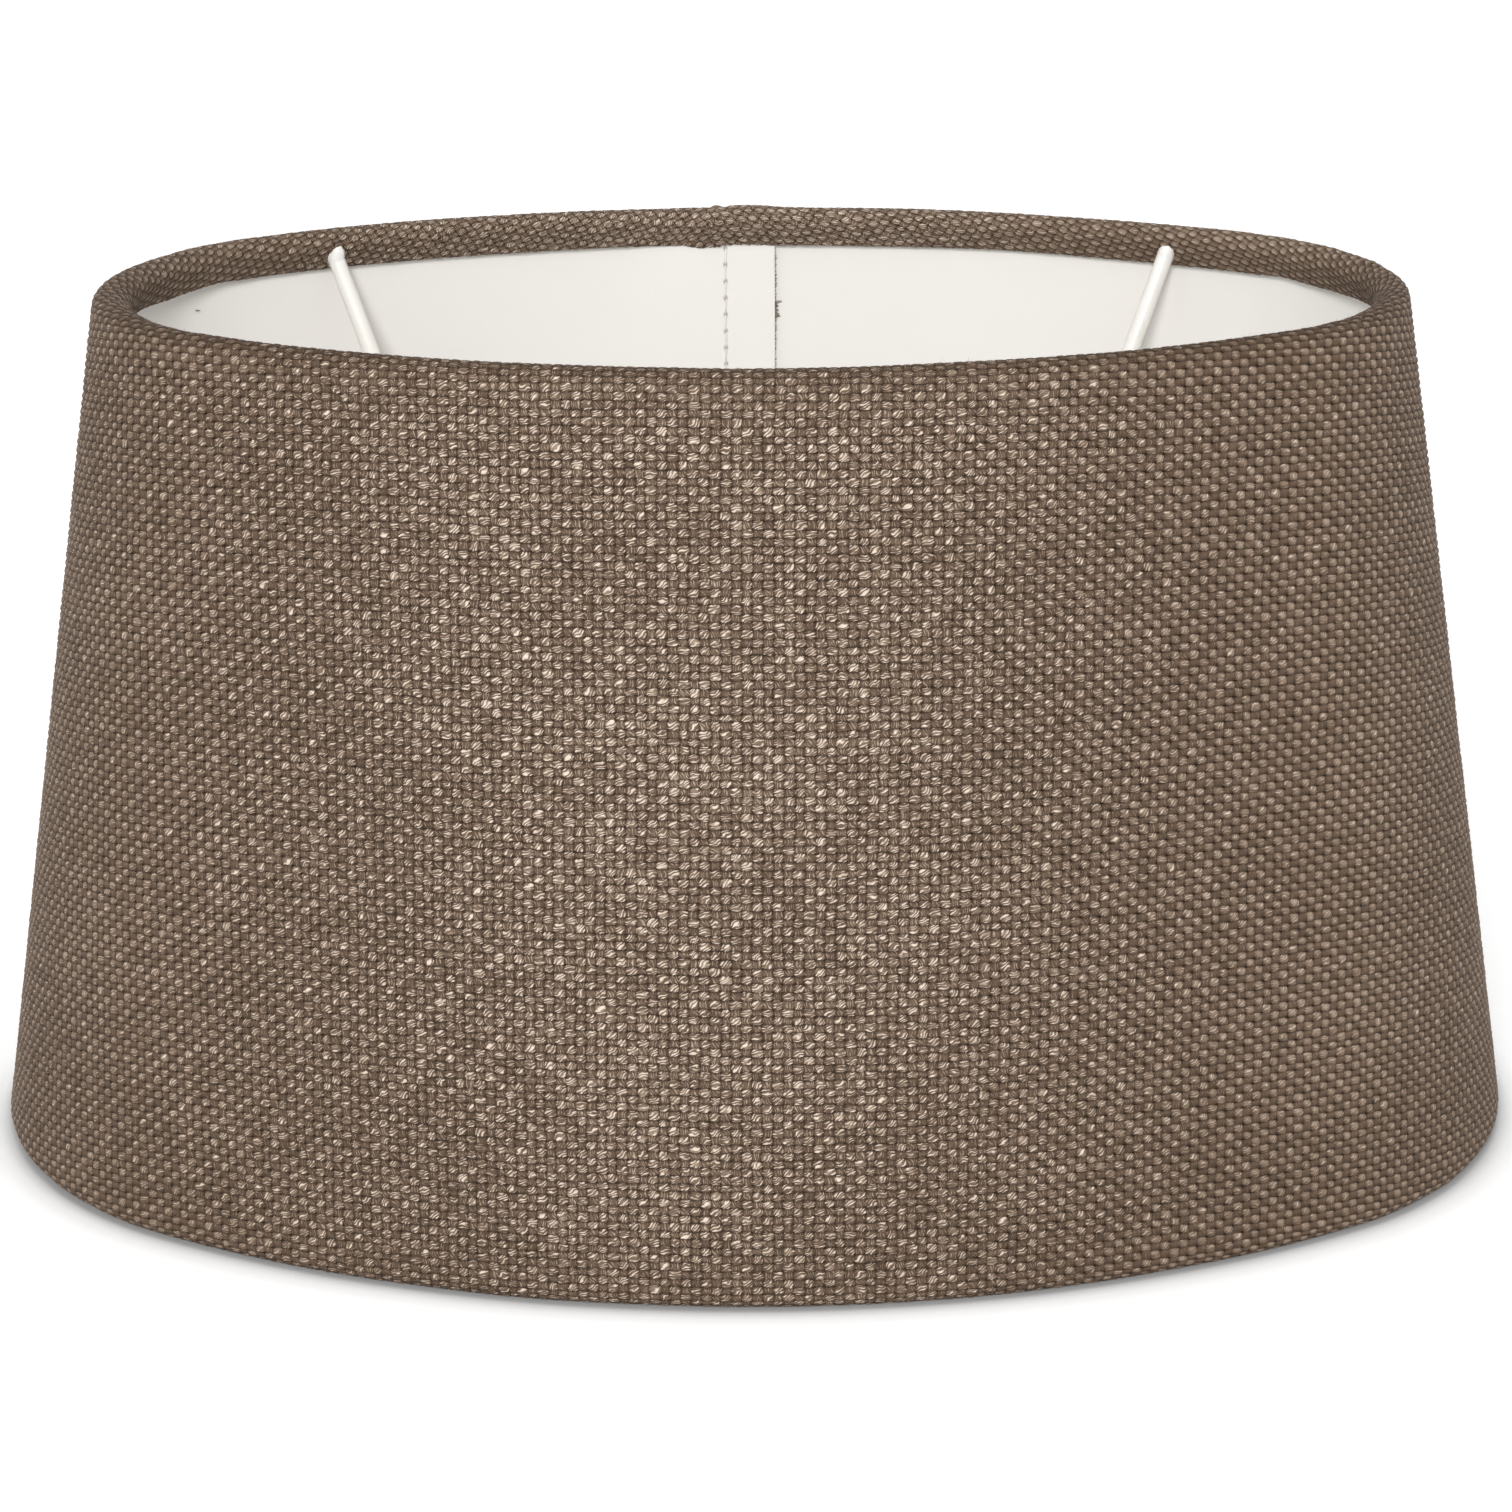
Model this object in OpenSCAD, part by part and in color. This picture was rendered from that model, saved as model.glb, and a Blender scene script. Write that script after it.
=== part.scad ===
// Oval tapered lamp shade: linen cloth on a stiff lining, rolled over two
// wire rings, with four bent wire arms down to a flat lampholder ring.
// Origin: centre of the bottom opening, on the plane the shade stands on.
// +X runs along the oval, +Z up, and the sewn seam is at the back (+Y).

/* [Shade outline] */
// Length of the oval at the bottom edge
bottom_w = 300; // [280:1:330]
// Radius of the oval's two round ends at the bottom edge
end_r = 76.5; // [72:0.5:85]
// Height of the shade
height = 167; // [150:1:190]
// How far each side leans in from the bottom edge to the top edge
taper = 26; // [15:1:32]

/* [Cloth and lining] */
// Thickness of the linen cloth
cloth_t = 1; // [0.7:0.05:1.1]
// Thickness of the stiff lining
lining_t = 0.4; // [0.3:0.05:0.5]
// How far the turned hem reaches along the wall, from the rim to its tucked edge
hem_h = 7.8; // [7:0.1:10]

/* [Frame wires] */
// Diameter of the wire in the two rings
ring_wire_d = 3; // [2.5:0.1:3.2]
// Diameter of the wire in the four arms
arm_wire_d = 3.4; // [2.6:0.1:3.6]
// Sideways distance from the centre to where an arm meets the top ring
arm_x = 84.6; // [70:0.2:90]
// Slope of an arm's upper leg below the horizontal
arm_slope = 67; // [55:1:75]
// Depth of the lampholder ring below the top ring
fitter_drop = 45; // [30:1:60]
// Radius of the bend in an arm, at the middle of the wire
bend_r = 6; // [4:0.5:10]

/* [Lampholder ring] */
// Diameter of the hole for the lampholder
hole_d = 41; // [40:0.5:44]
// Outer diameter of the ring
fitter_d = 58; // [54:1:64]
// Thickness of the ring's sheet metal
fitter_t = 1.6; // [1.2:0.1:2]
// Height of the turned-down rim that the arms are welded to
fitter_rim_h = 5; // [4:0.5:8]

/* [Seam] */
// Sideways place of the lining's cut edge, from the middle of the back
lap_edge_x = 5; // [3:0.1:6]
// Width of the lap
lap_w = 13.3; // [10:0.1:15]
// Distance of the sewn line from the cut edge
sewn_line_in = 10.4; // [8:0.1:10.6]
// Length of one stitch
stitch_pitch = 3.7; // [3:0.1:5]
// Diameter of the sewing thread
thread_d = 0.4; // [0.3:0.05:0.5]

/* [Hidden] */
$fn = 96;

// Room left between the pieces inside a hem
gap = 0.1;

// The oval is made of four arcs, a 120 degree arc at each end and a 60 degree arc on each side.
end_x = bottom_w / 2 - end_r;
side_r = end_r + 2 * end_x;
side_y = end_x * sqrt(3);

// The hem rolls are round about the ring wires, and the wall is tangent to both rolls.
roll_r = ring_wire_d / 2 + gap + cloth_t;
top_z = height - roll_r;
wall_l = norm([taper, top_z - roll_r]);
wall_lean = atan2(taper, top_z - roll_r);

// Wall layers, as distances outward from the line through the two wire centres
cloth_in = roll_r - cloth_t;
lining_in = cloth_in - lining_t;

// The hem's tucked edge is a bead of doubled cloth that rests on the lining.
bead_r = cloth_t + gap;
bead_x = lining_in - bead_r;
bead_y = hem_h - roll_r - bead_r;
hem_tangent = 360 - atan2(bead_y, bead_x) - acos((roll_r - bead_r) / norm([bead_x, bead_y]));

// Arms, each in a vertical plane through the shade's axis
arm_y = sqrt(pow(side_r - taper - roll_r, 2) - pow(arm_x, 2)) - side_y;
arm_reach = norm([arm_x, arm_y]);
fitter_z = top_z - fitter_drop;
bend_tan = bend_r * tan(arm_slope / 2);
corner_x = fitter_drop / tan(arm_slope) - arm_reach;
upper_leg_l = fitter_drop / sin(arm_slope) - bend_tan - ring_wire_d / 2 - gap;
level_leg_l = -corner_x - bend_tan - fitter_d / 2;

// The sewn lap: the inner ply lies on the outer ply's lining.
lap_y = bead_y + bead_r + gap;
lap_l = wall_l - 2 * lap_y;
stitch_n = floor(lap_l / stitch_pitch);
stitch_l = 0.8 * stitch_pitch;

// Points along an arc, from angle a0 to angle a1
function arc(centre, r, a0, a1, n = 12) =
    [for (i = [0 : n]) centre + r * [cos(a0 + (a1 - a0) * i / n), sin(a0 + (a1 - a0) * i / n)]];

// Turns an outline upside down about the middle of the wall
function flip(points) = [for (i = [len(points) - 1 : -1 : 0]) [points[i][0], wall_l - points[i][1]]];

// Moves to the centre of the back arc, in a whole and a fractional step that keep every digit
module at_side_centre() {
    translate([0, -floor(side_y), 0])
        translate([0, floor(side_y) - side_y, 0])
            children();
}

// Sweeps a profile all round the oval. The profile's x = 0 is the shade's widest line.
module along_oval() {
    for (half = [0, 180])
        rotate(half) {
            translate([end_x, 0, 0])
                rotate_extrude(start = -60, angle = 120)
                    translate([end_r, 0])
                        children();
            at_side_centre()
                rotate_extrude(start = 60, angle = 60)
                    translate([side_r, 0])
                        children();
        }
}

// Places a profile in the wall's own axes: x outward and y up the wall, from the bottom wire's centre
module on_wall() {
    translate([-roll_r, roll_r])
        rotate(wall_lean)
            children();
}

// Places a shape on the back wall, x outward and z up the wall, at a sideways distance x from the middle
module on_back_wall(x) {
    at_side_centre()
        rotate(90 - asin(x / side_r))
            translate([side_r - roll_r, 0, roll_r])
                rotate([0, -wall_lean, 0])
                    children();
}

// Sweeps a profile over the width of the lap
module along_lap() {
    from = acos(lap_edge_x / side_r);
    to = acos((lap_edge_x - lap_w) / side_r);
    at_side_centre()
        rotate_extrude(start = from, angle = to - from)
            translate([side_r, 0])
                on_wall()
                    children();
}

// Section of the cloth: the wall, both rolls and both tucked edges, with the holes for the wires
module fabric_section() {
    upper_half = concat(
        arc([0, wall_l], roll_r, 0, hem_tangent, 18),
        arc([bead_x, wall_l - bead_y], bead_r, hem_tangent, 360),
        [[lining_in, wall_l - roll_r], [cloth_in, wall_l - roll_r]]
    );
    difference() {
        polygon(concat(upper_half, flip(upper_half)));
        for (y = [0, wall_l])
            translate([0, y])
                circle(r = ring_wire_d / 2 + gap);
    }
}

// Straight leg of an arm. It is rooted in the bend and a hair thinner, so that they join cleanly.
module arm_leg(length, d) {
    translate([0, 0, -gap])
        cylinder(h = length + gap, d = d - gap / 10);
}

// One arm in its own plane, from the top ring on the -X side to the lampholder ring
module arm_shape(d) {
    translate([corner_x + bend_tan, 0, fitter_z + bend_r])
        rotate([90, 0, 0]) {
            rotate_extrude(start = -90 - arm_slope, angle = arm_slope)
                translate([bend_r, 0])
                    circle(d = d);
            rotate(-90 - arm_slope)
                translate([bend_r, 0, 0])
                    rotate([90, 0, 0])
                        arm_leg(upper_leg_l, d);
            rotate(-90)
                translate([bend_r, 0, 0])
                    rotate([-90, 0, 0])
                        arm_leg(level_leg_l, d);
        }
}

// Turns an arm to the quadrant with these signs of x and y
module in_quadrant(sx, sy) {
    rotate(atan2(sy * arm_y, sx * arm_x) + 180)
        children();
}

module spider_arm(sx, sy) {
    color("ivory")
        in_quadrant(sx, sy)
            arm_shape(arm_wire_d);
}

// The cloth with its two hems, slit where the arms come out, and the inner ply of the lap
module fabric_cover() {
    color("rosybrown") {
        difference() {
            along_oval() on_wall() fabric_section();
            for (sx = [-1, 1], sy = [-1, 1])
                in_quadrant(sx, sy)
                    arm_shape(arm_wire_d + 2 * gap);
        }
        along_lap()
            translate([lining_in - cloth_t, lap_y])
                square([cloth_t, lap_l]);
    }
}

// The stiff lining behind the cloth, and its inner ply at the lap
module lining() {
    color("ivory") {
        along_oval()
            on_wall()
                translate([lining_in, roll_r])
                    square([lining_t, wall_l - 2 * roll_r]);
        along_lap()
            translate([lining_in - cloth_t - lining_t, lap_y])
                square([lining_t, lap_l]);
    }
}

// Oval wire ring at a distance y up the wall
module wire_ring(y) {
    color("ivory")
        along_oval()
            on_wall()
                translate([0, y])
                    circle(d = ring_wire_d);
}

module top_ring() {
    wire_ring(wall_l);
}

module bottom_ring() {
    wire_ring(0);
}

module front_left_arm() {
    spider_arm(-1, -1);
}

module front_right_arm() {
    spider_arm(1, -1);
}

module rear_left_arm() {
    spider_arm(-1, 1);
}

module rear_right_arm() {
    spider_arm(1, 1);
}

// Flat ring that the lampholder clamps, with a turned-down rim for the arms
module fitter_ring() {
    color("ivory")
        translate([0, 0, fitter_z + arm_wire_d / 2])
            difference() {
                translate([0, 0, -fitter_rim_h])
                    cylinder(h = fitter_rim_h, d = fitter_d);
                translate([0, 0, -fitter_rim_h - 1])
                    cylinder(h = fitter_rim_h - fitter_t + 1, d = fitter_d - 2 * fitter_t);
                translate([0, 0, -fitter_rim_h])
                    cylinder(h = fitter_rim_h + 1, d = hole_d);
            }
}

// Row of stitches up the seam, with the thread's middle at x from the wall's centre line
module stitches(x) {
    on_back_wall(lap_edge_x - sewn_line_in)
        for (i = [0 : stitch_n - 1])
            translate([x, 0, lap_y + (lap_l - stitch_n * stitch_pitch) / 2 + i * stitch_pitch])
                cylinder(h = stitch_l, d = thread_d, $fn = 16);
}

module seam_needle_thread() {
    color("tan")
        stitches(roll_r + thread_d / 2);
}

module seam_bobbin_thread() {
    color("white")
        stitches(lining_in - cloth_t - lining_t - thread_d / 2);
}

fabric_cover();
lining();
top_ring();
bottom_ring();
front_left_arm();
front_right_arm();
rear_left_arm();
rear_right_arm();
fitter_ring();
seam_needle_thread();
seam_bobbin_thread();
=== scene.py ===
"""Oval linen lamp shade: woven cloth with rolled hems and a sewn lap, a stiff lining, and the finish of
the wire frame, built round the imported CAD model. Shapes are worked out in millimetres in the CAD
model's own frame, and add_mesh() turns them into metres. +Y is the back, where the seam is."""

import math

import bpy
import numpy as np
from mathutils import Euler, Matrix, Vector


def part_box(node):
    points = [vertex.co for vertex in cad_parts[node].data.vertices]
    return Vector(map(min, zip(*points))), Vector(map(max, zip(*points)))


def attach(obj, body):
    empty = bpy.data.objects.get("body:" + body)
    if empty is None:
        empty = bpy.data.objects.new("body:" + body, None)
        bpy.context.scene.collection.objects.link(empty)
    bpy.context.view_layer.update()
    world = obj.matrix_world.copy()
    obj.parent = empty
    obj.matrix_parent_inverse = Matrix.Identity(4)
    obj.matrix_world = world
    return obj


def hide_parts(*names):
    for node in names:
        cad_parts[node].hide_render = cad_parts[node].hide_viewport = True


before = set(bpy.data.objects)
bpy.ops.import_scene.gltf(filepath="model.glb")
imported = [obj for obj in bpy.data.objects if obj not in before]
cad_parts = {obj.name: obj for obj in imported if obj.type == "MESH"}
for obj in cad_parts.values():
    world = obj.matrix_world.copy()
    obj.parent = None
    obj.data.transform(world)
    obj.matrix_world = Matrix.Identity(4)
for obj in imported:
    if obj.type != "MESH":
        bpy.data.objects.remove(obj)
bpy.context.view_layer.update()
rng = np.random.default_rng(20)

MM = 0.001

# ---------------------------------------------------------------- driving sizes, as in the CAD model
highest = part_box("fabric_cover")[1]
HALF_W = round(highest.x / MM)
HALF_D = highest.y / MM
HEIGHT = round(highest.z / MM)
TAPER = 26.0
CLOTH_T = 1.0
LINING_T = 0.4
HEM_H = 7.8
RING_WIRE_D = 3.0
ARM_WIRE_D = 3.4
ARM_X = 84.6
ARM_SLOPE = 67.0
GAP = 0.1
LAP_EDGE_X = 5.0
LAP_W = 13.3
SEWN_LINE_X = -5.4
STITCH_PITCH = 3.7
STITCH_N = 41
ARMS = ("front_left_arm", "front_right_arm", "rear_left_arm", "rear_right_arm")
ARM_HIGH_Z, ARM_LOW_Z = 150, 128    # an arm's upper end is above the first, and its bend below the second

# ---------------------------------------------------------------- the oval and the wall's section
SPREAD = 2 - math.sqrt(3)
END_R = round((HALF_D - SPREAD * HALF_W) / (1 - SPREAD), 1)
END_X = HALF_W - END_R
SIDE_R = END_R + 2 * END_X
SIDE_Y = END_X * math.sqrt(3)
JOINT_1, JOINT_2 = math.radians(30), math.radians(150)

ROLL_R = RING_WIRE_D / 2 + GAP + CLOTH_T
RISE = HEIGHT - 2 * ROLL_R
WALL_L = math.hypot(TAPER, RISE)
SIN_LEAN, COS_LEAN = TAPER / WALL_L, RISE / WALL_L
LINING_IN = ROLL_R - CLOTH_T - LINING_T
BEAD_R = CLOTH_T + GAP
BEAD_X = LINING_IN - BEAD_R
BEAD_Y = HEM_H - ROLL_R - BEAD_R
LAP_STEP = CLOTH_T + LINING_T
OUTER_EDGE_X = LAP_EDGE_X - LAP_W

# ---------------------------------------------------------------- the weave
WARP_PITCH, WEFT_PITCH = 1.854, 1.473
GRAIN = math.radians(-0.343)        # turn of the yarns from the wall's own directions
GRAIN_MID = -1300.0                 # height on the flat pattern that they turn about
NU, NV = 4, 3                       # mesh steps across and up each crossing of the weave
CROSSINGS_ACROSS = (-214, 214)      # range of crossings that the mesh grid takes in
CROSSINGS_UP = (-985, -730)
WEAVE_START = 2000                  # added to the crossings' numbers, to keep them above 0 in the material
HEM_CUT = 15.5                      # reach of the turned-in cloth beyond each end of the wall
HEM_EASE = 1.25                     # rows of yarn lie this much closer in the eased hems
HEM_RELIEF = 0.55                   # share of the relief that is left where the cloth is over the wires
RELIEF = 0.26                       # how far the yarns' crowns stand above their edges
FACE = 0.72                         # height in the relief that lies on the CAD model's face
SWELL = 0.04                        # how far a proud crossing spreads over its neighbours
MEAN_TONE = 0.30                    # tone of a calm stretch of cloth
STRANDS_PER_MM = 1.95               # strands of fibre across a yarn
CLOTH_PARTS = 8                     # the one sheet is held as this many meshes
FOLD_R = 0.45                       # the outer ply's turned edge at the seam
UNDER_LAP = 6.0                     # how far the left end of the cloth stops short of the lining's cut edge
END_STAND = (2.3, 1.2)              # how far the hem's inner half stands off at the left and right ends
LOTS = 512                          # crossings after which the random heights of the crowns repeat
KNOTS = 4096                        # knots in a random wander

# ---------------------------------------------------------------- small details, from the photo
SCRAP_AT = (-110.1, 34.4, 153.7)    # scrap of yarn stuck to the lining
SCRAP_HEADING = (0.62, 0.70, -0.36)
KNOT_UP = 143.7                     # distance up the wall of the frayed knot on the lap
LEFT_WRAP, RIGHT_WRAP = 62, 34      # degrees that an arm's paint reaches round the top ring

# ---------------------------------------------------------------- camera, from a fit to the photo, in metres
SENSOR = 36
LENS = 90.66
CAMERA_PLACE = (0.00054, -0.7062, 0.3274)
CAMERA_PITCH = math.radians(19.913)
CAMERA_ROLL = math.radians(-0.273)
FLOOR_REACH = 6.0                   # from the middle of the floor to its sides


def along_direction(d):
    """Centre, radius and normal of the widest oval, at outward direction d from the front."""
    side = np.abs(d)
    front, rear = side <= JOINT_1, side >= JOINT_2
    arc = front | rear
    cx = np.where(arc, 0, np.sign(d) * END_X)
    cy = np.where(front, SIDE_Y, np.where(rear, -SIDE_Y, 0))
    return cx, cy, np.where(arc, SIDE_R, END_R), np.sin(d), -np.cos(d)


def on_shade(d, out, up):
    """Points from direction d and the wall's axes: out from the line through the ring wires, and up it."""
    cx, cy, r, nx, ny = along_direction(d)
    reach = r - ROLL_R + out * COS_LEAN - up * SIN_LEAN
    return np.stack([cx + reach * nx, cy + reach * ny, ROLL_R + out * SIN_LEAN + up * COS_LEAN], -1)


def wall_axes(d):
    """Unit vectors out of the wall, up it and sideways (towards larger d), at direction d."""
    nx, ny = np.sin(d), -np.cos(d)
    out = np.stack([nx * COS_LEAN, ny * COS_LEAN, np.full_like(nx, SIN_LEAN)], -1)
    up = np.stack([-nx * SIN_LEAN, -ny * SIN_LEAN, np.full_like(nx, COS_LEAN)], -1)
    side = np.stack([-ny, nx, np.zeros_like(nx)], -1)
    return out, up, side


def radius_at(d, up):
    """Radius, at direction d and height up the wall, of the wall's outer face."""
    return along_direction(d)[2] - ROLL_R + ROLL_R * COS_LEAN - up * SIN_LEAN


def back_direction(x, up):
    """Direction d of the point on the back wall at sideways distance x."""
    return math.pi - np.arcsin(x / radius_at(np.array(math.pi), up))


def unroll(u, v):
    """Direction d and distance up the wall for a point of the cloth's flat pattern.
    Each arc of the wall is part of a cone, so it unrolls to a sector whose apex is a long way up."""
    side = np.sign(u) + (u == 0)
    x, y = np.abs(u), v
    apex = (SIDE_R - END_R) / SIN_LEAN
    a1, a2 = JOINT_1 * SIN_LEAN, JOINT_2 * SIN_LEAN
    x1, y1 = apex * math.sin(a1), -apex * math.cos(a1)
    x2, y2 = x1 - apex * math.sin(a2), y1 + apex * math.cos(a2)
    start = (SIDE_R - ROLL_R + ROLL_R * COS_LEAN) / SIN_LEAN
    f0, f1, f2 = np.arctan2(x, -y), np.arctan2(x - x1, y1 - y), np.arctan2(x - x2, y2 - y)
    in_front, in_end = f0 <= a1, f1 <= a2
    f = np.where(in_front, f0, np.where(in_end, f1, f2))
    reach = np.where(in_front, np.hypot(x, y),
                     np.where(in_end, np.hypot(x - x1, y - y1) + apex, np.hypot(x - x2, y - y2)))
    return side * f / SIN_LEAN, start - reach


def smooth(x, low, high):
    """0 up to low, 1 from high on, and a smooth rise between them."""
    t = np.clip((x - low) / (high - low), 0, 1)
    return t * t * (3 - 2 * t)


def wander(x, step, seed):
    """Smooth noise along x, about -1 to 1, with bumps about one step apart."""
    knots = np.random.default_rng(seed).uniform(-1, 1, KNOTS)
    i = np.floor(x / step).astype(int)
    t = x / step - i
    t = t * t * (3 - 2 * t)
    return knots[i % KNOTS] * (1 - t) + knots[(i + 1) % KNOTS] * t


# ---------------------------------------------------------------- meshes
def add_mesh(name, verts, faces, material, smooth_shaded=True, attributes=None):
    """A piece from vertices in millimetres and quads or triangles, riding on the shade."""
    mesh = bpy.data.meshes.new(name)
    faces = np.asarray(faces)
    count, corners = faces.shape
    mesh.vertices.add(len(verts))
    mesh.vertices.foreach_set("co", (np.asarray(verts, float) * MM).astype(np.float32).ravel())
    mesh.loops.add(count * corners)
    mesh.loops.foreach_set("vertex_index", faces.astype(np.int32).ravel())
    mesh.polygons.add(count)
    mesh.polygons.foreach_set("loop_start", np.arange(0, count * corners, corners, dtype=np.int32))
    mesh.update(calc_edges=True)
    mesh.validate()
    if smooth_shaded:
        mesh.polygons.foreach_set("use_smooth", np.ones(len(mesh.polygons), bool))
    for key, values in (attributes or {}).items():
        layer = mesh.attributes.new(key, "FLOAT_VECTOR", "POINT")
        layer.data.foreach_set("vector", np.asarray(values, np.float32).ravel())
    mesh.materials.append(material)
    piece = bpy.data.objects.new(name, mesh)
    bpy.context.scene.collection.objects.link(piece)
    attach(piece, "root")
    return piece


def grid_faces(rows, columns, wrap_rows=False, wrap_columns=False):
    """Quads of a grid of points numbered row by row."""
    r = np.arange(rows if wrap_rows else rows - 1)[:, None]
    c = np.arange(columns if wrap_columns else columns - 1)[None, :]
    r2, c2 = (r + 1) % rows, (c + 1) % columns
    quads = [r * columns + c, r * columns + c2, r2 * columns + c2, r2 * columns + c]
    return np.stack([np.broadcast_to(q, (len(r), c.shape[1])) for q in quads], -1).reshape(-1, 4)


def tube(path, radii, sides, turn=0.0):
    """Vertices and quads of a tube round a path, its radius given at each point. Its ends are left open."""
    path = np.asarray(path, float)
    along = np.gradient(path, axis=0)
    along /= np.linalg.norm(along, axis=1)[:, None]
    helper = np.array([0.0, 0, 1]) if abs(along[0][2]) < 0.9 else np.array([1.0, 0, 0])
    across = np.cross(along, helper)
    across /= np.linalg.norm(across, axis=1)[:, None]
    third = np.cross(along, across)
    a = np.linspace(0, 2 * math.pi, sides, endpoint=False) + turn
    ring = across[:, None] * np.cos(a)[None, :, None] + third[:, None] * np.sin(a)[None, :, None]
    verts = (path[:, None] + ring * np.asarray(radii)[:, None, None]).reshape(-1, 3)
    return verts, grid_faces(len(path), sides, wrap_columns=True)


def join_shapes(shapes):
    """One vertex list and one face list from several."""
    verts, faces, start = [], [], 0
    for v, f in shapes:
        verts.append(v)
        faces.append(f + start)
        start += len(v)
    return np.concatenate(verts), np.concatenate(faces)


# ---------------------------------------------------------------- material helpers
def new_material(name, roughness, **sockets):
    """A node material, its node tree and its shader, with these values on the shader's sockets."""
    material = bpy.data.materials.new(name)
    material.use_nodes = True
    shader = material.node_tree.nodes["Principled BSDF"]
    shader.inputs["Roughness"].default_value = roughness
    for key, value in sockets.items():
        shader.inputs[key.replace("_", " ")].default_value = value
    return material, material.node_tree, shader


def node(tree, kind, settings=None, **links):
    """Adds a node. A link is another node's output or a plain value, for the socket of that name."""
    made = tree.nodes.new(kind)
    for key, value in (settings or {}).items():
        setattr(made, key, value)
    for key, value in links.items():
        number = key[1:]
        socket = made.inputs[int(number)] if number.isdigit() else made.inputs[key.replace("_", " ")]
        if isinstance(value, bpy.types.NodeSocket):
            tree.links.new(value, socket)
        else:
            socket.default_value = value
    return made


def calc(tree, operation, a, b=0.0, c=0.0):
    return node(tree, "ShaderNodeMath", {"operation": operation}, i0=a, i1=b, i2=c).outputs[0]


def ramp(tree, value, stops):
    """A colour ramp. Each stop is a place and a grey level or a colour."""
    made = node(tree, "ShaderNodeValToRGB", i0=value)
    bar = made.color_ramp
    while len(bar.elements) < len(stops):
        bar.elements.new(0.5)
    for element, (place, colour) in zip(bar.elements, stops):
        element.position = place
        rgb = colour if isinstance(colour, tuple) else (colour,) * 3
        element.color = (*rgb, 1)
    return made.outputs["Color"]


def blend_colours(tree, factor, a, b):
    made = node(tree, "ShaderNodeMix", {"data_type": "RGBA"})
    for number, value in ((0, factor), (6, a), (7, b)):
        socket = made.inputs[number]
        if isinstance(value, bpy.types.NodeSocket):
            tree.links.new(value, socket)
        else:
            socket.default_value = (*value, 1) if isinstance(value, tuple) else value
    return made.outputs[2]


def add_bump(tree, shader, height, distance, strength=1.0):
    made = node(tree, "ShaderNodeBump", i0=strength, i1=distance, Height=height)
    tree.links.new(made.outputs["Normal"], shader.inputs["Normal"])


def noise(tree, vector, scale, detail=2.0, rough=0.5, dimensions="3D"):
    return node(tree, "ShaderNodeTexNoise", {"noise_dimensions": dimensions},
                Vector=vector, Scale=scale, Detail=detail, Roughness=rough).outputs["Fac"]


# ---------------------------------------------------------------- materials
# The darkest brown is painted shade in the gaps between the yarns.
GAP_SHADE_BROWN = (0.018, 0.010, 0.005)
DARK_YARN = (0.056, 0.035, 0.022)
MID_YARN = (0.130, 0.088, 0.060)
LIGHT_YARN = (0.305, 0.233, 0.176)
CREAM_YARN = (0.620, 0.525, 0.440)
LINING_DULL, LINING_CLEAN = (0.835, 0.813, 0.777), (0.865, 0.846, 0.814)
NEEDLE_HOLE = (0.22, 0.19, 0.16)
PAINT_AGED, PAINT_FRESH = (0.80, 0.775, 0.715), (0.85, 0.84, 0.81)
CONTACT_GREY = (0.10, 0.10, 0.10)


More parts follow.
